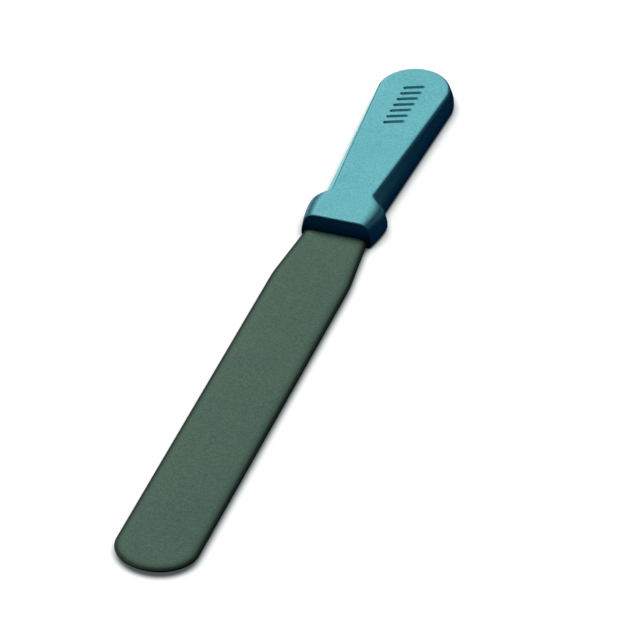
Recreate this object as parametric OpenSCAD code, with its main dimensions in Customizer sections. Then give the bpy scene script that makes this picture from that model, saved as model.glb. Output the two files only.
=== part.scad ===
// Long flexible hand spatula: a rubber-skinned spring-steel blade in a moulded handle.
// Millimetres. +Y runs to the butt of the handle, +Z up from the face the tool rests on.
// Origin: on that face, half way along the handle.

/* [Blade] */
// Width of the blade between its parallel sides
blade_w = 32; // [31:0.5:33]
// Length of the blade in front of the guard
blade_len = 222; // [200:1:250]
// Thickness of the blade over its skin
blade_t = 2.4; // [2.4:0.1:3]
// Length of the rounded tip
tip_len = 14.5; // [12:0.5:18]
// Width of the blade where it enters the guard
neck_w = 26; // [25:0.2:26.6]
// Length of the straight taper in front of the guard
neck_len = 31; // [28:1:36]
// Height of the blade's underside over the rest face
blade_lift = 1.6; // [1.4:0.1:2]
// Width of the softened edge round the blade
edge_soft = 2; // [1.2:0.1:2.4]

/* [Core] */
// Thickness of the spring-steel core
core_t = 0.8; // [0.6:0.1:0.9]
// Margin of skin around the core
core_margin = 3.5; // [3:0.5:5]
// Length of the tang inside the handle
tang_len = 80; // [74:1:86]
// Diameter of the locking holes in the tang
lock_d = 6; // [4:0.5:8]

/* [Flexing] */
// Running gap at each bend line
bend_gap = 0.3; // [0.25:0.05:0.4]

/* [Handle] */
// Length of the handle with its guard
handle_len = 120; // [116:0.5:128]
// Width across the butt
butt_w = 33.2; // [32:0.2:35]
// Length of the rounded butt
butt_len = 18.8; // [16:0.2:20]
// Width across the foot of the grip at the waist
waist_w = 25.2; // [24.6:0.2:27]
// Width across the shoulders of the guard
guard_w = 33.2; // [32:0.2:34.4]
// Width of the front face of the guard
face_w = 29; // [28:0.5:30]
// Height at the front face
guard_h = 11.4; // [11:0.2:12]
// Height at the butt
butt_h = 9.4; // [9:0.2:10.2]
// Inward lean of the guard's walls, in degrees
guard_lean = 14.5; // [12:0.5:17]
// Inward lean of the grip's walls at the waist, in degrees
waist_lean = 34; // [28:1:35]
// Inward lean of the grip's walls at the butt, in degrees
butt_lean = 20; // [16:1:24]
// Edge radius along the top of the guard at the front face
face_edge_r = 4.5; // [4:0.1:5]
// Edge radius along the top of the guard at its shoulders
guard_edge_r = 7; // [6:0.2:7.4]
// Edge radius along the top of the grip
grip_edge_r = 1.8; // [1.2:0.1:2.2]
// Edge radius along the underside
under_edge_r = 1.8; // [1.4:0.1:2]

/* [Hidden] */

teal = [0.42, 0.69, 0.71];
slate_green = [0.33, 0.41, 0.36];
steel = [0.72, 0.73, 0.74];

guard_y = -handle_len / 2;
tip_y = guard_y - blade_len;
blade_z = blade_lift + blade_t / 2;
// How deep the blade's skin is let into the guard
insert_len = 5.5;
slack = 1;
far = 100;

// Bend lines that stand for the even curve of the blade, one in the middle of each pitch
bends = 6;
pitch = blade_len / bends;
knuckle_r = blade_t / 2 + 0.2;
socket_r = knuckle_r + bend_gap;
// How far each length of the core reaches into its knuckle
core_reach = 0.9;
// Height of the blade's softened edge
edge_drop = 0.35 * blade_t;
tip_turn = 7.5;

// The tang runs on from the tapering core at the width it has reached inside the guard
neck_taper = (blade_w - neck_w) / 2 / neck_len;
tang_w = neck_w - 2 * core_margin - 2 * neck_taper * insert_len;
// Distances of the tang's locking holes behind the front face
lock_at = [19, 43, 67];
post_extra = 2;

// Distances behind the front face
shoulder_at = 14.6;
waist_at = 21.4;
butt_at = handle_len - butt_len;

// The walls stand upright at the foot and lean evenly above this share of their height
lean_from = 0.36;
lean_soft = 0.25;

// The side's points lie closer together towards the guard
side_steps = 34;
side_bunch = 1.25;
butt_steps = 14;
edge_steps = 5;
wall_steps = 5;
round_fn = 48;

// Place of bend line k along the blade
function bend_y(k) = guard_y - (k - 0.5) * pitch;

// ---- blade ----

// The blade's outline drawn in by m all round: neck, parallel sides and a round tip
function blade_outline(m) =
  let (
    side = blade_w / 2 - m,
    root = neck_w / 2 - m - neck_taper * insert_len,
    reach = tip_len - m,
    centre = tip_y + tip_len
  )
  concat(
    [[-root, guard_y + insert_len], [-side, guard_y - neck_len]],
    [for (a = [180 : tip_turn : 360]) [side * cos(a), centre + reach * sin(a)]],
    [[side, guard_y - neck_len], [root, guard_y + insert_len]]
  );

module layer(m, half_t)
  translate([0, 0, blade_z - half_t])
    linear_extrude(2 * half_t)
      polygon(blade_outline(m));

module cross_bar(y, r)
  translate([-far / 2, y, blade_z])
    rotate([0, 90, 0])
      cylinder(h = far, r = r, $fn = round_fn);

module slab(y0, y1)
  translate([-far / 2, y0, -far / 2])
    cube([far, y1 - y0, far]);

// One length of the core; grow lengthens both ends, for the pocket in the skin
module core_length(k, grow = 0) {
  front = k == bends ? tip_y - slack : bend_y(k + 1) + socket_r - grow;
  back = k == 0 ? guard_y + insert_len + grow : bend_y(k) + core_reach + grow;
  intersection() {
    layer(core_margin, core_t / 2);
    slab(front, back);
  }
}

// One length of the skin: a round end on its bend line, a hollow end at the next
module skin_length(k) {
  front = k == bends ? tip_y - slack : bend_y(k + 1);
  back = k == 0 ? guard_y + insert_len + slack : bend_y(k);
  difference() {
    intersection() {
      hull() {
        layer(0, blade_t / 2 - edge_drop);
        layer(edge_soft, blade_t / 2);
      }
      union() {
        slab(front, back);
        if (k > 0) cross_bar(back, knuckle_r);
      }
    }
    if (k < bends) cross_bar(front, socket_r);
    core_length(k, slack);
  }
}

// ---- handle ----

// Share of the way from a to b at a distance d behind the front face, held at 0 before and at 1 after
function share(d, a, b) = max(0, min(1, (d - a) / (b - a)));
// 0 on the guard, 1 on the grip
function grip_share(d) = (1 - cos(180 * share(d, shoulder_at, waist_at))) / 2;
// 0 at the waist, 1 where the rounded butt begins
function along_grip(d) = share(d, waist_at, butt_at);

// Half width at the foot of the walls
function half_width(d) =
  d < shoulder_at ? face_w / 2 + (guard_w - face_w) / 2 * sin(90 * d / shoulder_at)
  : d < waist_at ? guard_w / 2 + (waist_w - guard_w) / 2 * grip_share(d)
  : waist_w / 2 + (butt_w - waist_w) / 2 * along_grip(d);

function height_at(d) = guard_h + (butt_h - guard_h) * d / handle_len;
function guard_r(d) = face_edge_r + (guard_edge_r - face_edge_r) * share(d, 0, shoulder_at);
function edge_r(d) = guard_r(d) + (grip_edge_r - guard_r(d)) * grip_share(d);
function grip_lean(d) = waist_lean + (butt_lean - waist_lean) * along_grip(d);
function lean_at(d) = guard_lean + (grip_lean(d) - guard_lean) * grip_share(d);
function lean_share(t) =
  t < lean_from - lean_soft ? 0
  : t > lean_from + lean_soft ? t - lean_from
  : pow(t - lean_from + lean_soft, 2) / (4 * lean_soft);

// Points round the handle in plan, each with its outward direction
side_d = [for (i = [0 : side_steps]) butt_at * pow(i / side_steps, side_bunch)];
right_side = [for (d = side_d) [[half_width(d), d], [1, 0]]];
butt_end = [
  for (i = [1 : 2 * butt_steps - 1])
    let (
      a = 90 * i / butt_steps,
      out = [cos(a) / butt_w * 2, sin(a) / butt_len]
    )
    [[butt_w / 2 * cos(a), butt_at + butt_len * sin(a)], out / norm(out)]
];
left_side = [
  for (i = [side_steps : -1 : 0])
    [[-right_side[i][0].x, side_d[i]], [-1, 0]]
];
plan = concat(right_side, butt_end, left_side);
plan_n = len(plan);

// Rings run from the underside up: the rounded foot, the wall and the rounded top edge.
// Each function gives [inset, height] for its step j at a distance d.
rings = 2 * edge_steps + wall_steps + 1;
function wall_h(d) = height_at(d) - edge_r(d) * (1 - sin(lean_at(d))) - under_edge_r;
function foot_ring(j) =
  let (a = 90 * (j / edge_steps - 1))
  under_edge_r * [1 - cos(a), 1 + sin(a)];
function wall_ring(j, d) =
  let (t = j / wall_steps)
  wall_h(d) * [tan(lean_at(d)) * lean_share(t), t] + [0, under_edge_r];
function top_ring(j, d) =
  let (
    first = lean_at(d),
    a = first + (90 - first) * j / edge_steps
  )
  wall_ring(wall_steps, d) + edge_r(d) * [cos(first) - cos(a), sin(a) - sin(first)];
function ring(j, d) =
  j <= edge_steps ? foot_ring(j)
  : j < edge_steps + wall_steps ? wall_ring(j - edge_steps, d)
  : top_ring(j - edge_steps - wall_steps, d);

// The height follows the point's own place along the handle, so that the top stays one flat face
handle_points = [
  for (j = [0 : rings - 1], i = [0 : plan_n - 1])
    let (
      at = plan[i][0],
      r = ring(j, at.y),
      p = at - plan[i][1] * r[0],
      drop = j > edge_steps ? height_at(p.y) - height_at(at.y) : 0
    )
    [p.x, guard_y + p.y, r[1] + drop]
];
side_faces = [
  for (j = [0 : rings - 2], i = [0 : plan_n - 1])
    let (n = (i + 1) % plan_n, a = j * plan_n)
    each [[a + i, a + plan_n + i, a + n], [a + n, a + plan_n + i, a + plan_n + n]]
];
// Each flat face is a ladder of strips between a point and its mirror image, up to the butt's last point
function cap_faces(first, up) = [
  for (i = [0 : (plan_n - 1) / 2 - 1])
    let (
      m = plan_n - 1 - i,
      strip = m - 1 > i + 1 ? [i, i + 1, m - 1, m] : [i, i + 1, m],
      last = len(strip) - 1
    )
    [for (k = [0 : last]) first + strip[up ? last - k : k]]
];
handle_faces = concat(cap_faces(0, false), cap_faces((rings - 1) * plan_n, true), side_faces);

// ---- tang ----

module lock_posts()
  for (d = lock_at)
    translate([0, guard_y + d, blade_z - core_t / 2 - post_extra / 2])
      cylinder(h = core_t + post_extra, d = lock_d, $fn = round_fn);

module pierced_tang()
  difference() {
    translate([-tang_w / 2, guard_y + insert_len, blade_z - core_t / 2])
      cube([tang_w, tang_len - insert_len, core_t]);
    lock_posts();
  }

// ---- nodes ----

module handle()
  color(teal)
    difference() {
      polyhedron(points = handle_points, faces = handle_faces, convexity = 6);
      intersection() {
        layer(0, blade_t / 2);
        slab(guard_y - slack, guard_y + insert_len);
      }
      pierced_tang();
    }

module tang()
  color(steel)
    union() {
      pierced_tang();
      core_length(0);
    }

module core(k) color(steel) core_length(k);

module skin(k) color(slate_green) skin_length(k);

handle();
tang();
skin(0);  // skin_root
core(1);  // core_1
core(2);  // core_2
core(3);  // core_3
core(4);  // core_4
core(5);  // core_5
core(6);  // core_6
skin(1);  // skin_1
skin(2);  // skin_2
skin(3);  // skin_3
skin(4);  // skin_4
skin(5);  // skin_5
skin(6);  // skin_6
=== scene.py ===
"""Visual model of the long flexible spatula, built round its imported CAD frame.

Shapes are worked out in millimetres in the frame's own axes (+Y to the butt, +Z up) and turned into
metres when their mesh is made.
"""

import math

import bmesh
import bpy
from mathutils import Matrix, Vector
from mathutils.geometry import tessellate_polygon


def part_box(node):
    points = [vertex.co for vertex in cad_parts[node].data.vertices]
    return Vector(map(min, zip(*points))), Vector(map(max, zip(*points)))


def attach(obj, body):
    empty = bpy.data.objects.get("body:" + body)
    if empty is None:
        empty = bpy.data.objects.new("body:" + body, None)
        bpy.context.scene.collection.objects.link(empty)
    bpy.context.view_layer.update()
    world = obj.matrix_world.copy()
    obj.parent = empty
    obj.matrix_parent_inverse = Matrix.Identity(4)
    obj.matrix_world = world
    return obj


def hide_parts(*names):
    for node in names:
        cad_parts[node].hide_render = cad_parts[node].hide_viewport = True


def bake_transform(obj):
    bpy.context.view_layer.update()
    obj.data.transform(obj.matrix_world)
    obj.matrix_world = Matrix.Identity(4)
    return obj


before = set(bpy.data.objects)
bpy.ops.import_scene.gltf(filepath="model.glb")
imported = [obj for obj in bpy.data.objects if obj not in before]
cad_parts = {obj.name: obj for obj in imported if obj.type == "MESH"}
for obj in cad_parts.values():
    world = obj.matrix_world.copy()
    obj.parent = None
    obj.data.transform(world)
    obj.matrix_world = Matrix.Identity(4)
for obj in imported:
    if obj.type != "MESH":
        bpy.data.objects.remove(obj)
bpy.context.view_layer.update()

MM = 0.001


def box_mm(node):
    """A node's lowest and highest corners in millimetres."""
    low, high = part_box(node)
    return Vector(low) / MM, Vector(high) / MM


HANDLE_LOW, HANDLE_HIGH = box_mm("handle")
BLADE_LOW, BLADE_HIGH = box_mm("skin_3")
TIP_Y = box_mm("skin_6")[0].y
CORE_LOW, CORE_HIGH = box_mm("core_3")
TANG_END_Y = box_mm("tang")[1].y

# ---- sizes that the CAD source gives, in millimetres ----

GUARD_Y = HANDLE_LOW.y
HANDLE_LEN = HANDLE_HIGH.y - HANDLE_LOW.y
GUARD_H = HANDLE_HIGH.z
BUTT_H = 9.4
WAIST_W = 25.2
GUARD_W = 33.2
BUTT_W = 33.2
BUTT_LEN = 18.8
FACE_W = 29.0
GUARD_LEAN = math.radians(14.5)
WAIST_LEAN = math.radians(34)
BUTT_LEAN = math.radians(20)
LEAN_FROM = 0.36
LEAN_SOFT = 0.25
FACE_EDGE = 4.5
GUARD_EDGE = 7.0
GRIP_EDGE = 1.8
FOOT_EDGE = 1.8
SHOULDER_AT = 14.6
WAIST_AT = 21.4
BUTT_AT = HANDLE_LEN - BUTT_LEN

BLADE_W = BLADE_HIGH.x - BLADE_LOW.x
BLADE_T = BLADE_HIGH.z - BLADE_LOW.z
BLADE_Z = (BLADE_HIGH.z + BLADE_LOW.z) / 2
BLADE_LEN = GUARD_Y - TIP_Y
NECK_W = 26.0
NECK_LEN = 31.0
NECK_SLOPE = (BLADE_W - NECK_W) / 2 / NECK_LEN
NECK_SOFT = 3.0
TIP_LEN = 14.5
INSERT_LEN = 5.5
SKIN_EDGE = 5.0
CORE_MARGIN = 3.5
CORE_T = CORE_HIGH.z - CORE_LOW.z
CORE_EDGE = 0.15
LOCK_D = 6.0
LOCK_AT = (19.0, 43.0, 67.0)
BENDS = 6
PITCH = BLADE_LEN / BENDS

# ---- how finely the meshes are made ----

SIDE_STEPS = 90
SIDE_CROWDING = 1.25
BUTT_STEPS = 44
EDGE_STEPS = 9
WALL_STEPS = 10
STATION = 1.6
TIP_STEPS = 48
NOSE_STEPS = 20
RIM_R = 0.45
RIM_STEPS = 4
CAP_MARGIN = 0.3
HOLE_STEPS = 48
SHARP_ANGLE = math.radians(38)


# ---- mesh helpers ----

def make_piece(name, bm, material):
    """A mesh object in metres from a bmesh in millimetres, smooth except at its sharp edges."""
    bmesh.ops.recalc_face_normals(bm, faces=bm.faces)
    bmesh.ops.scale(bm, vec=(MM, MM, MM), verts=bm.verts)
    mesh = bpy.data.meshes.new(name)
    for face in bm.faces:
        face.smooth = True
    bm.to_mesh(mesh)
    bm.free()
    mesh.set_sharp_from_angle(angle=SHARP_ANGLE)
    mesh.materials.append(material)
    piece = bpy.data.objects.new(name, mesh)
    bpy.context.scene.collection.objects.link(piece)
    return piece


def add_ring(bm, points):
    return [bm.verts.new(p) for p in points]


def join_rings(bm, a, b, closed=True):
    """Faces between two rings of the same length."""
    count = len(a)
    for i in range(count if closed else count - 1):
        bm.faces.new((a[i], a[(i + 1) % count], b[(i + 1) % count], b[i]))


def fill_with_holes(bm, outline, holes):
    """Flat faces inside the outline and outside the holes, all given as rings of vertices."""
    loops = [outline] + holes
    flat = [[Vector((v.co.x, v.co.y, 0)) for v in loop] for loop in loops]
    verts = [v for loop in loops for v in loop]
    for triangle in tessellate_polygon(flat):
        corners = [verts[i] for i in triangle]
        if len(set(corners)) == 3:
            bm.faces.new(corners)


# ---- handle ----

def share(d, a, b):
    """Share of the way from a to b at a distance d behind the front face, held at 0 before and 1 after."""
    return max(0.0, min(1.0, (d - a) / (b - a)))


def grip_share(d):
    """0 on the guard and 1 on the grip."""
    return (1 - math.cos(math.pi * share(d, SHOULDER_AT, WAIST_AT))) / 2


def along_grip(d):
    """0 at the waist and 1 where the rounded butt begins."""
    return share(d, WAIST_AT, BUTT_AT)


def half_width(d):
    if d < SHOULDER_AT:
        return FACE_W / 2 + (GUARD_W - FACE_W) / 2 * math.sin(math.pi / 2 * d / SHOULDER_AT)
    if d < WAIST_AT:
        return GUARD_W / 2 + (WAIST_W - GUARD_W) / 2 * grip_share(d)
    return WAIST_W / 2 + (BUTT_W - WAIST_W) / 2 * along_grip(d)


def height_at(d):
    return GUARD_H + (BUTT_H - GUARD_H) * d / HANDLE_LEN


def edge_radius(d):
    guard = FACE_EDGE + (GUARD_EDGE - FACE_EDGE) * share(d, 0, SHOULDER_AT)
    return guard + (GRIP_EDGE - guard) * grip_share(d)


def wall_lean(d):
    grip = WAIST_LEAN + (BUTT_LEAN - WAIST_LEAN) * along_grip(d)
    return GUARD_LEAN + (grip - GUARD_LEAN) * grip_share(d)


def lean_share(t):
    """How far the wall has come inward, a share t of the way up: upright at first, then an even slope."""
    start, end = LEAN_FROM - LEAN_SOFT, LEAN_FROM + LEAN_SOFT
    if t < start:
        return 0.0
    return t - LEAN_FROM if t > end else (t - start) ** 2 / (4 * LEAN_SOFT)


def wall_section(d):
    """(inset, height) pairs from the underside to the top face: rounded foot, wall, rounded top edge."""
    lean = wall_lean(d)
    radius = edge_radius(d)
    wall_h = height_at(d) - radius * (1 - math.sin(lean)) - FOOT_EDGE
    section = []
    for j in range(EDGE_STEPS + 1):
        a = math.pi / 2 * (j / EDGE_STEPS - 1)
        section.append((FOOT_EDGE * (1 - math.cos(a)), FOOT_EDGE * (1 + math.sin(a))))
    for j in range(1, WALL_STEPS + 1):
        t = j / WALL_STEPS
        section.append((wall_h * math.tan(lean) * lean_share(t), FOOT_EDGE + wall_h * t))
    inset, height = section[-1]
    for j in range(1, EDGE_STEPS + 1):
        a = lean + (math.pi / 2 - lean) * j / EDGE_STEPS
        section.append((
            inset + radius * (math.cos(lean) - math.cos(a)),
            height + radius * (math.sin(a) - math.sin(lean)),
        ))
    return section


def side_point(d, j):
    """Point j of the section at distance d on the right side, as (x, distance, height)."""
    inset, height = wall_section(d)[j]
    return Vector((half_width(d) - inset, d, height))


def butt_point(a, j):
    """Point j of the section at angle a round the oval butt, from its right side."""
    out = Vector((2 * math.cos(a) / BUTT_W, math.sin(a) / BUTT_LEN)).normalized()
    foot = Vector((BUTT_W / 2 * math.cos(a), BUTT_AT + BUTT_LEN * math.sin(a)))
    inset, height = wall_section(foot.y)[j]
    x, along = foot - out * inset
    if j > EDGE_STEPS:
        height += height_at(along) - height_at(foot.y)
    return Vector((x, along, height))


def handle_ring(j):
    """Ring j of the handle, from just behind the front face up the right side, round the butt and back."""
    side = []
    for i in range(SIDE_STEPS + 1):
        side.append(side_point(RIM_R + (BUTT_AT - RIM_R) * (i / SIDE_STEPS) ** SIDE_CROWDING, j))
    butt = [butt_point(math.pi * i / (2 * BUTT_STEPS), j) for i in range(1, 2 * BUTT_STEPS)]
    left = [Vector((-p.x, p.y, p.z)) for p in reversed(side)]
    return [Vector((p.x, GUARD_Y + p.y, p.z)) for p in side + butt + left]


def inner_ring(points, margin):
    """The ring's points moved inward by margin in plan, staying on the sloping top face."""
    moved = []
    count = len(points)
    for i, p in enumerate(points):
        before, after = points[i - 1], points[(i + 1) % count]
        t = Vector((after.x - before.x, after.y - before.y)).normalized()
        q = Vector((p.x - t.y * margin, p.y + t.x * margin))
        moved.append(Vector((q.x, q.y, height_at(q.y - GUARD_Y))))
    return moved


# A plain row of slanted grooves is pressed into the top, near the butt
MARK_AT = 89.0
MARK_COUNT = 7
MARK_PITCH = 4.6
MARK_LEN = 9.0
MARK_W = 1.9
MARK_SLANT = math.radians(24)
MARK_DEPTH = 0.9
MARK_RIM = 0.22
MARK_RIM_STEPS = 3
MARK_WALL_DEPTH = 0.12
MARK_WALL_LEAN = 0.1
MARK_BED = 0.15
MARK_BED_STEPS = 4
MARK_END_STEPS = 7


def groove_loop(centre, radius):
    """A slot's outline in plan: two half circles joined by straight sides."""
    along = Vector((math.cos(MARK_SLANT), math.sin(MARK_SLANT)))
    half = (MARK_LEN - MARK_W) / 2
    loop = []
    for end in (1, -1):
        for i in range(MARK_END_STEPS + 1):
            a = MARK_SLANT + math.pi * (i / MARK_END_STEPS - 0.5) + (0 if end > 0 else math.pi)
            loop.append(centre + along * half * end + radius * Vector((math.cos(a), math.sin(a))))
    return loop


def add_groove(bm, centre):
    """A groove with a rounded rim and a rounded floor; gives back its outer ring for the top face."""
    half = MARK_W / 2
    profile = [(half + MARK_RIM * 2, 0.0), (half + MARK_RIM, 0.0)]
    for i in range(1, MARK_RIM_STEPS + 1):
        a = math.pi / 2 * i / MARK_RIM_STEPS
        profile.append((half + MARK_RIM * (1 - math.sin(a)), MARK_RIM * (1 - math.cos(a))))
    bed_half = half - MARK_WALL_LEAN
    bed_from = MARK_RIM + MARK_WALL_DEPTH
    for i in range(MARK_BED_STEPS + 1):
        a = math.pi / 2 * i / MARK_BED_STEPS
        profile.append((
            bed_half - (bed_half - MARK_BED) * (1 - math.cos(a)),
            bed_from + (MARK_DEPTH - bed_from) * math.sin(a),
        ))
    rings = []
    for radius, depth in profile:
        loop = groove_loop(centre, radius)
        rings.append(add_ring(bm, [(p.x, p.y, height_at(p.y - GUARD_Y) - depth) for p in loop]))
    for a, b in zip(rings, rings[1:]):
        join_rings(bm, a, b)
    bm.faces.new(rings[-1])
    return rings[0]


def add_front_rim(bm, loop):
    """Rounds the front face's edge and closes the face."""
    count = len(loop)
    base = [v.co.copy() for v in loop]
    inward = []
    for i in range(count):
        t = base[(i + 1) % count] - base[i - 1]
        inward.append(Vector((-t.z, 0, t.x)).normalized())
    centre = sum(base, Vector()) / count
    if (centre - base[0]).dot(inward[0]) < 0:
        inward = [-n for n in inward]
    last = loop
    for s in range(1, RIM_STEPS + 1):
        a = math.pi / 2 * s / RIM_STEPS
        ring = add_ring(bm, [
            p + n * RIM_R * (1 - math.cos(a)) - Vector((0, RIM_R * math.sin(a), 0))
            for p, n in zip(base, inward)
        ])
        join_rings(bm, last, ring)
        last = ring
    inner = add_ring(bm, [v.co + n * CAP_MARGIN for v, n in zip(last, inward)])
    join_rings(bm, last, inner)
    bm.faces.new(inner)


def handle_moulding(material):
    """The handle's outer shape, closed, with the grooves in its top face."""
    bm = bmesh.new()
    rings = [add_ring(bm, handle_ring(j)) for j in range(2 * EDGE_STEPS + WALL_STEPS + 1)]
    for a, b in zip(rings, rings[1:]):
        join_rings(bm, a, b, closed=False)
    bm.faces.new(rings[0])
    top = rings[-1]
    add_front_rim(bm, [r[0] for r in rings] + [r[-1] for r in reversed(rings)])
    inner = add_ring(bm, inner_ring([v.co for v in top], CAP_MARGIN))
    join_rings(bm, top, inner)
    grooves = []
    for i in range(MARK_COUNT):
        offset = (i - (MARK_COUNT - 1) / 2) * MARK_PITCH
        grooves.append(add_groove(bm, Vector((0, GUARD_Y + MARK_AT + offset))))
    fill_with_holes(bm, inner, grooves)
    piece = make_piece("handle_moulding", bm, material)
    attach(piece, "handle")
    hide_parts("handle")


# ---- blade ----

def blade_half(d):
    """Half width of the blade at a distance d in front of the guard, its shoulder slightly softened."""
    gap = NECK_LEN - d
    if gap <= -NECK_SOFT:
        return BLADE_W / 2
    if gap >= NECK_SOFT:
        return BLADE_W / 2 - NECK_SLOPE * gap
    return BLADE_W / 2 - NECK_SLOPE * (gap + NECK_SOFT) ** 2 / (4 * NECK_SOFT)


def blade_side(d0, d1, margin):
    """Right side of the blade between two distances in front of the guard, as (x, distance)."""
    steps = max(2, round((d1 - d0) / STATION))
    distances = [d0 + (d1 - d0) * i / steps for i in range(steps + 1)]
    return [Vector((blade_half(d) - margin, d)) for d in distances]


def tip_arc(margin):
    """Right half of the round tip, from its side to a little short of its centre line."""
    centre = BLADE_LEN - TIP_LEN
    wide, long = BLADE_W / 2 - margin, TIP_LEN - margin
    arc = []
    for i in range(1, TIP_STEPS):
        a = math.pi / 2 * i / TIP_STEPS
        arc.append(Vector((wide * math.cos(a), centre + long * math.sin(a))))
    return arc


def strip_ring(side, inset, z):
    """A ring of a strip: its right side, then its left side backwards, moved inward by inset."""
    right = []
    for i, p in enumerate(side):
        before, after = side[max(i - 1, 0)], side[min(i + 1, len(side) - 1)]
        t = (after - before).normalized()
        normal = Vector((t.y, -t.x))
        right.append(p - normal * inset)
    right = [(p.x, GUARD_Y - p.y, z) for p in right]
    return right + [(-x, y, z) for x, y, z in reversed(right)]


def close_flat(bm, ring):
    """A flat face as a ladder of strips between the ring's two sides."""
    half = len(ring) // 2
    for i in range(half - 1):
        bm.faces.new((ring[i], ring[i + 1], ring[-2 - i], ring[-1 - i]))


def strip_mesh(side, thickness, edge, round_end):
    """A flat strip with rounded long edges, closed at both ends; its far end is the round tip or flat."""
    bm = bmesh.new()
    rings = []
    for j in range(NOSE_STEPS + 1):
        a = math.pi * (j / NOSE_STEPS - 0.5)
        rings.append(add_ring(bm, strip_ring(
            side, edge * (1 - math.cos(a)), BLADE_Z + thickness / 2 * math.sin(a))))
    for a, b in zip(rings, rings[1:]):
        join_rings(bm, a, b, closed=False)
    close_flat(bm, rings[0])
    close_flat(bm, rings[-1])
    bm.faces.new([r[0] for r in rings] + [r[-1] for r in reversed(rings)])
    if not round_end:
        # the column of faces that joins the two sides there becomes one flat face
        last = len(side) - 1
        for a, b in zip(rings, rings[1:]):
            bm.faces.remove(bm.faces.get((a[last], a[last + 1], b[last + 1], b[last])))
        bm.faces.new([r[last] for r in rings] + [r[last + 1] for r in reversed(rings)])
    return bm


def flexing_strip(name, k, side, thickness, edge, material, nodes):
    """Length k of a strip, across joint k from the middle of one body to the next."""
    piece = make_piece(name, strip_mesh(side, thickness, edge, k == BENDS), material)
    piece.visible_diffuse = False
    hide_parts(*nodes)
    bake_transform(piece)


def skin_strips(material):
    for k in range(1, BENDS + 1):
        start = -INSERT_LEN if k == 1 else (k - 1) * PITCH
        end = k * PITCH if k < BENDS else BLADE_LEN - TIP_LEN
        side = blade_side(start, end, 0)
        if k == BENDS:
            side += tip_arc(0)
        nodes = [f"skin_{k}"] + (["skin_root"] if k == 1 else [])
        flexing_strip(f"blade_skin_{k}", k, side, BLADE_T, SKIN_EDGE, material, nodes)


def core_strips(material):
    for k in range(1, BENDS + 1):
        start = (k - 1) * PITCH
        end = k * PITCH if k < BENDS else BLADE_LEN - TIP_LEN
        side = blade_side(start, end, CORE_MARGIN)
        if k == BENDS:
            side += tip_arc(CORE_MARGIN)
        nodes = [f"core_{k}"]
        flexing_strip(f"blade_core_{k}", k, side, CORE_T, CORE_EDGE, material, nodes)


def tang_plate(material):
    """The steel inside the handle: a flat tang with three holes that the moulding fills."""
    root = NECK_W / 2 - CORE_MARGIN
    back = root - NECK_SLOPE * INSERT_LEN
    tang_y = GUARD_Y + INSERT_LEN
    outline = [
        (-root, GUARD_Y), (root, GUARD_Y), (back, tang_y),
        (back, TANG_END_Y), (-back, TANG_END_Y), (-back, tang_y),
    ]
    holes = []
    for at in LOCK_AT:
        holes.append([
            (LOCK_D / 2 * math.cos(a), GUARD_Y + at + LOCK_D / 2 * math.sin(a))
            for a in (2 * math.pi * i / HOLE_STEPS for i in range(HOLE_STEPS))
        ])
    bm = bmesh.new()
    levels = []
    for z in (BLADE_Z - CORE_T / 2, BLADE_Z + CORE_T / 2):
        loops = [add_ring(bm, [(x, y, z) for x, y in points]) for points in [outline] + holes]
        fill_with_holes(bm, loops[0], loops[1:])
        levels.append(loops)
    for low, high in zip(*levels):
        join_rings(bm, low, high)
    piece = make_piece("blade_tang", bm, material)
    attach(piece, "handle")
    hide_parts("tang")


# ---- materials ----

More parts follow.
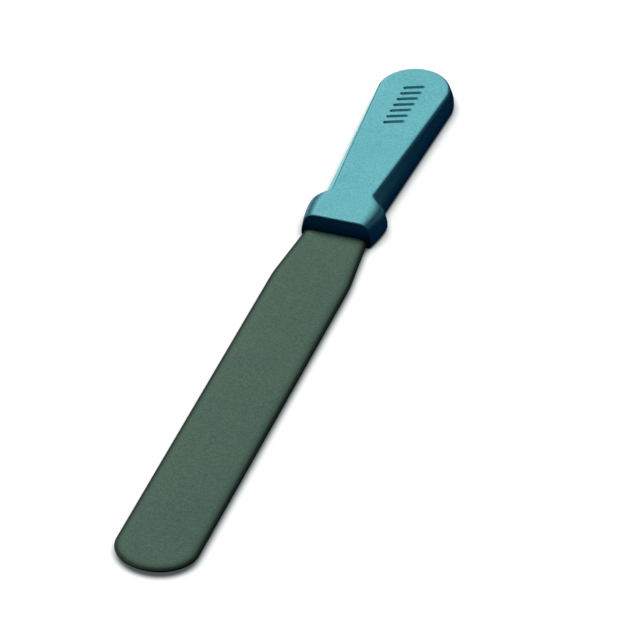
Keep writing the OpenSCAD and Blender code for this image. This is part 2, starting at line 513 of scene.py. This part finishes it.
class Surface:
    """A Principled material with procedural colour, roughness and bump, in millimetres on the object."""

    def __init__(self, name):
        self.material = bpy.data.materials.new(name)
        self.material.use_nodes = True
        self.tree = self.material.node_tree
        self.shader = self.tree.nodes["Principled BSDF"]
        coordinates = self.node("ShaderNodeTexCoord")
        self.direction = coordinates.outputs["Normal"]
        mapping = self.node("ShaderNodeMapping")
        mapping.inputs["Scale"].default_value = (1 / MM, 1 / MM, 1 / MM)
        self.link(coordinates.outputs["Object"], mapping.inputs["Vector"])
        self.position = mapping.outputs["Vector"]
        self.relief = None

    def node(self, kind):
        return self.tree.nodes.new(kind)

    def link(self, a, b):
        self.tree.links.new(a, b)

    def noise(self, per_mm, detail, roughness=0.55, stretch=None):
        """Noise with about per_mm features to the millimetre."""
        vector = self.position
        if stretch:
            squeeze = self.node("ShaderNodeMapping")
            squeeze.inputs["Scale"].default_value = stretch
            self.link(vector, squeeze.inputs["Vector"])
            vector = squeeze.outputs["Vector"]
        noise = self.node("ShaderNodeTexNoise")
        noise.inputs["Scale"].default_value = per_mm
        noise.inputs["Detail"].default_value = detail
        noise.inputs["Roughness"].default_value = roughness
        self.link(vector, noise.inputs["Vector"])
        return noise.outputs["Fac"]

    def spread(self, value, low, high, out_low, out_high):
        """Maps low..high of a value onto out_low..out_high."""
        ramp = self.node("ShaderNodeMapRange")
        ramp.inputs["From Min"].default_value = low
        ramp.inputs["From Max"].default_value = high
        ramp.inputs["To Min"].default_value = out_low
        ramp.inputs["To Max"].default_value = out_high
        self.link(value, ramp.inputs["Value"])
        return ramp.outputs["Result"]

    def mix(self, factor, a, b):
        """Mixes two colours; each is a colour or another mix's output."""
        mix = self.node("ShaderNodeMix")
        mix.data_type = "RGBA"
        self.link(factor, mix.inputs["Factor"])
        for socket, value in ((mix.inputs[6], a), (mix.inputs[7], b)):
            if isinstance(value, tuple):
                socket.default_value = (*value, 1)
            else:
                self.link(value, socket)
        return mix.outputs[2]

    def part(self, vector, axis):
        """One axis's part of the surface's position, in millimetres, or of its direction."""
        split = self.node("ShaderNodeSeparateXYZ")
        self.link(vector, split.inputs["Vector"])
        return split.outputs[axis]

    def uprightness(self):
        """1 where the surface faces straight up or down, 0 where it stands upright."""
        return self.calculate("ABSOLUTE", self.part(self.direction, "Z"))

    def calculate(self, operation, a, b=None):
        node = self.node("ShaderNodeMath")
        node.operation = operation
        self.link(a, node.inputs[0])
        if b is not None:
            self.link(b, node.inputs[1])
        return node.outputs[0]

    def bump(self, height, strength, depth):
        """Adds a layer of relief, its depth in millimetres."""
        bump = self.node("ShaderNodeBump")
        bump.inputs["Strength"].default_value = strength
        bump.inputs["Distance"].default_value = depth * MM
        self.link(height, bump.inputs["Height"])
        if self.relief:
            self.link(self.relief, bump.inputs["Normal"])
        self.relief = bump.outputs["Normal"]
        self.link(self.relief, self.shader.inputs["Normal"])


def srgb(r, g, b):
    """A linear colour from an 8-bit sRGB one."""
    def one(c):
        c /= 255
        return c / 12.92 if c <= 0.04045 else ((c + 0.055) / 1.055) ** 2.4
    return (one(r), one(g), one(b))


TEALS = (srgb(118, 190, 193), srgb(125, 198, 200))
TEAL_FLECK = srgb(72, 142, 152)
TEAL_PAINTED_SHADE = srgb(14, 66, 86)
TEAL_PAINTED_BLADE_SHADE = srgb(6, 26, 20)
TEAL_SPECULAR = 0.16
GREENS = (srgb(81, 106, 90), srgb(84, 109, 92))
GREEN_FLECK = srgb(50, 73, 58)
GREEN_PAINTED_SHADE = srgb(20, 34, 24)
GREEN_SPECULAR = 0.2
STEELS = (srgb(150, 152, 155), srgb(196, 198, 200))
STEEL_GRAIN = (1, 0.03, 1)
FLECK_SHARE = 0.9


def teal_plastic():
    """Satin teal, with shade painted into its colour on rounded edges, on the guard's left side and in
    front, round the blade.
    """
    s = Surface("teal_satin_plastic")
    cloud = s.spread(s.noise(0.06, 2), 0.35, 0.65, 0, 1)
    fleck = s.spread(s.noise(1.7, 4, 0.75), 0.32, 0.68, 0, 1)
    colour = s.mix(s.spread(fleck, 0, 1, 0, FLECK_SHARE), s.mix(cloud, *TEALS), TEAL_FLECK)

    # painted shade: the teal darkens on rounded edges where the surface turns away from flat, a little
    # less on the guard
    facing = s.uprightness()
    below_top = s.spread(facing, 0.8, 0.99, 1, 0)
    above_wall = s.spread(facing, 0.6, 0.76, 0.1, 0.95)
    painted_edge_shade = s.calculate("MULTIPLY", below_top, above_wall)
    on_guard = s.spread(s.part(s.position, "Y"), GUARD_Y + SHOULDER_AT, GUARD_Y + WAIST_AT, 1, 0)
    painted_edge_shade = s.calculate("MULTIPLY", painted_edge_shade, s.spread(on_guard, 0, 1, 1, 0.82))
    colour = s.mix(painted_edge_shade, colour, TEAL_PAINTED_SHADE)
    # painted shade: the guard's left-facing side is darkened in its colour
    leftward = s.spread(s.part(s.direction, "X"), -0.5, -0.12, 0.9, 0)
    colour = s.mix(s.calculate("MULTIPLY", on_guard, leftward), colour, TEAL_PAINTED_SHADE)
    # painted shade: faces turned toward the tip darken low down, next to the blade
    frontward = s.spread(s.part(s.direction, "Y"), -0.9, -0.5, 1, 0)
    low = s.spread(s.part(s.position, "Z"), 3, 9, 0.85, 0)
    colour = s.mix(s.calculate("MULTIPLY", frontward, low), colour, TEAL_PAINTED_BLADE_SHADE)

    s.link(colour, s.shader.inputs["Base Color"])
    s.link(s.spread(s.noise(0.5, 4), 0.3, 0.7, 0.42, 0.5), s.shader.inputs["Roughness"])
    s.shader.inputs["Specular IOR Level"].default_value = TEAL_SPECULAR
    s.bump(s.noise(1.6, 4, 0.6), 0.25, 0.03)
    s.bump(s.noise(7.0, 2, 0.5), 0.2, 0.01)
    return s.material


def green_rubber():
    """Matte grey-green, with shade painted into its colour toward the blade's edges."""
    s = Surface("grey_green_rubber")
    cloud = s.spread(s.noise(0.05, 2), 0.35, 0.65, 0, 1)
    fleck = s.spread(s.noise(1.6, 5, 0.8), 0.36, 0.64, 0, FLECK_SHARE)
    colour = s.mix(fleck, s.mix(cloud, *GREENS), GREEN_FLECK)
    # painted shade: the green darkens where the surface tips away from flat, toward the blade's edges
    colour = s.mix(s.spread(s.uprightness(), 0.952, 0.998, 0.97, 0), colour, GREEN_PAINTED_SHADE)
    s.link(colour, s.shader.inputs["Base Color"])
    s.link(s.spread(s.noise(0.9, 4), 0.3, 0.7, 0.68, 0.8), s.shader.inputs["Roughness"])
    s.shader.inputs["Specular IOR Level"].default_value = GREEN_SPECULAR
    s.bump(s.noise(1.2, 5, 0.7), 0.35, 0.05)
    s.bump(s.noise(6.0, 2, 0.5), 0.25, 0.015)
    return s.material


def brushed_steel():
    """Spring steel with its grain along the blade."""
    s = Surface("brushed_spring_steel")
    grain = s.noise(6.0, 4, 0.6, stretch=STEEL_GRAIN)
    s.link(s.mix(grain, *STEELS), s.shader.inputs["Base Color"])
    s.shader.inputs["Metallic"].default_value = 1
    s.link(s.spread(grain, 0.2, 0.8, 0.24, 0.42), s.shader.inputs["Roughness"])
    s.bump(grain, 0.2, 0.01)
    return s.material


def studio_white():
    """White paper that glows evenly, with a shadow painted into its glow only close to the object, on the
    side away from the key.
    """
    s = Surface("studio_white")
    s.link(s.mix(s.noise(0.004, 2), *FLOOR_TONES), s.shader.inputs["Base Color"])
    s.shader.inputs["Roughness"].default_value = FLOOR_ROUGHNESS
    s.shader.inputs["Specular IOR Level"].default_value = 0
    # painted shadow: the glow dims and takes the shadow tint where something stands close on the side
    # toward SHADOW_FROM
    near = s.node("ShaderNodeAmbientOcclusion")
    near.samples = SHADOW_RAYS
    near.inputs["Distance"].default_value = SHADOW_REACH
    near.inputs["Normal"].default_value = SHADOW_FROM.normalized()
    open_share = s.spread(near.outputs["AO"], SHADOW_DEPTH, SHADOW_EDGE, 0, 1)
    glow = s.spread(open_share, 0, 1, SHADOW_TONE, FLOOR_GLOW)
    s.link(glow, s.shader.inputs["Emission Strength"])
    s.link(s.mix(open_share, SHADOW_TINT, WHITE), s.shader.inputs["Emission Color"])
    return s.material


# ---- studio: metres, but millimetres for the card ----

WHITE = (1.0, 1.0, 1.0)
FLOOR_TONES = ((0.04, 0.04, 0.04), (0.06, 0.06, 0.06))
FLOOR_ROUGHNESS = 0.9
FLOOR_GLOW = 1.0
FLOOR_R = 6.0
FLOOR_CENTRE_R = 0.5
WALL_R = 2.0
WALL_H = 5.0
FLOOR_TURNS = 96
WALL_BEND_STEPS = 12
SHADOW_FROM = Vector((-0.9, 0.25, 0.12))
SHADOW_REACH = 0.0064
SHADOW_DEPTH = 0.36
SHADOW_EDGE = 0.82
SHADOW_TONE = 0.08
SHADOW_TINT = (0.87, 1.0, 0.97)
SHADOW_RAYS = 16
CARD_TONES = ((0.35, 0.95, 0.95), (0.4, 1.0, 1.0))
CARD_GLOW = 0.7
CARD_GAP = 1.0
CARD_WIDE = 150.0
CARD_Z = 0.3
LIGHT_TARGET = Vector((0, -0.1, 0))
LIGHT_DISTANCE = 1.6
LIGHT_SIZE = 0.8
KEY_FROM = Vector((-0.66, 0.28, 0.86))
KEY_WATTS = 36
FILL_FROM = Vector((0.12, 0.0, 1.0))
FILL_WATTS = 1.8
FILL_COLOUR = (0.4, 0.75, 0.9)
AMBIENT = (0.0, 0.28, 0.97)
AMBIENT_STRENGTH = 0.045


def add_floor():
    """A round floor that curves up into a wall. It gives no light of its own to the object."""
    profile = [(FLOOR_CENTRE_R, 0.0), (FLOOR_R, 0.0)]
    for i in range(1, WALL_BEND_STEPS + 1):
        a = math.pi / 2 * i / WALL_BEND_STEPS
        profile.append((FLOOR_R + WALL_R * math.sin(a), WALL_R * (1 - math.cos(a))))
    profile.append((FLOOR_R + WALL_R, WALL_H))
    bm = bmesh.new()
    turns = [2 * math.pi * i / FLOOR_TURNS for i in range(FLOOR_TURNS)]
    rings = []
    for radius, height in profile:
        rings.append(add_ring(bm, [(radius * math.cos(a), radius * math.sin(a), height) for a in turns]))
    bm.faces.new(rings[0])
    for a, b in zip(rings, rings[1:]):
        join_rings(bm, a, b)
    bmesh.ops.recalc_face_normals(bm, faces=bm.faces)
    mesh = bpy.data.meshes.new("studio_floor")
    bm.to_mesh(mesh)
    bm.free()
    mesh.materials.append(studio_white())
    floor = bpy.data.objects.new("studio_floor", mesh)
    bpy.context.scene.collection.objects.link(floor)
    floor.visible_diffuse = False
    floor.visible_glossy = False


def add_card():
    """A pale blue card on the floor to the left of the grip, seen only as a reflection in its edge."""
    near, far = HANDLE_LOW.y + WAIST_AT, HANDLE_HIGH.y + CARD_WIDE
    right = HANDLE_LOW.x - CARD_GAP
    left = right - CARD_WIDE
    bm = bmesh.new()
    corners = [(left, near, CARD_Z), (right, near, CARD_Z), (right, far, CARD_Z), (left, far, CARD_Z)]
    bm.faces.new(add_ring(bm, corners))
    s = Surface("studio_card")
    s.link(s.mix(s.noise(0.01, 2), *CARD_TONES), s.shader.inputs["Emission Color"])
    s.shader.inputs["Emission Strength"].default_value = CARD_GLOW
    card = make_piece("studio_card", bm, s.material)
    card.visible_camera = False
    card.visible_diffuse = False
    card.visible_transmission = False
    card.visible_shadow = False


def add_light(name, side, watts, colour):
    """A square soft light that faces the object from one side."""
    data = bpy.data.lights.new(name, "AREA")
    data.shape = "RECTANGLE"
    data.size = data.size_y = LIGHT_SIZE
    data.energy = watts
    data.color = colour
    light = bpy.data.objects.new(name, data)
    light.location = LIGHT_TARGET + side.normalized() * LIGHT_DISTANCE
    light.rotation_euler = (light.location - LIGHT_TARGET).to_track_quat("Z", "Y").to_euler()
    bpy.context.scene.collection.objects.link(light)


def add_lights():
    add_light("key", KEY_FROM, KEY_WATTS, WHITE)
    add_light("fill", FILL_FROM, FILL_WATTS, FILL_COLOUR)
    world = bpy.data.worlds.new("studio")
    world.use_nodes = True
    background = world.node_tree.nodes["Background"]
    background.inputs["Color"].default_value = (*AMBIENT, 1)
    background.inputs["Strength"].default_value = AMBIENT_STRENGTH
    bpy.context.scene.world = world


# ---- camera ----

VIEW_TURN = math.radians(18.06)
VIEW_RISE = math.radians(35.77)
VIEW_ROLL = math.radians(0.605)
VIEW_TARGET = Vector((5.8, -110.12, 2.8)) * MM
VIEW_DISTANCE = 1.933
LENS = 290.3
SENSOR = 36.0
VIEW_REACH = 20


def add_camera():
    """The photo's view: turned from the tip's end toward the right, raised, and slightly rolled."""
    level = math.cos(VIEW_RISE)
    back = Vector((level * math.sin(VIEW_TURN), -level * math.cos(VIEW_TURN), math.sin(VIEW_RISE)))
    right = Vector((0, 0, 1)).cross(back).normalized()
    up = back.cross(right)
    x = right * math.cos(VIEW_ROLL) + up * math.sin(VIEW_ROLL)
    y = up * math.cos(VIEW_ROLL) - right * math.sin(VIEW_ROLL)
    data = bpy.data.cameras.new("camera")
    data.lens = LENS
    data.sensor_width = SENSOR
    data.clip_end = VIEW_REACH
    camera = bpy.data.objects.new("camera", data)
    turn = Matrix((x, y, back)).transposed().to_4x4()
    camera.matrix_world = Matrix.Translation(VIEW_TARGET + back * VIEW_DISTANCE) @ turn
    bpy.context.scene.collection.objects.link(camera)
    bpy.context.scene.camera = camera


def build():
    steel = brushed_steel()
    handle_moulding(teal_plastic())
    skin_strips(green_rubber())
    tang_plate(steel)
    core_strips(steel)
    add_floor()
    add_card()
    add_lights()
    add_camera()
    bpy.context.scene.view_settings.view_transform = "Standard"


build()
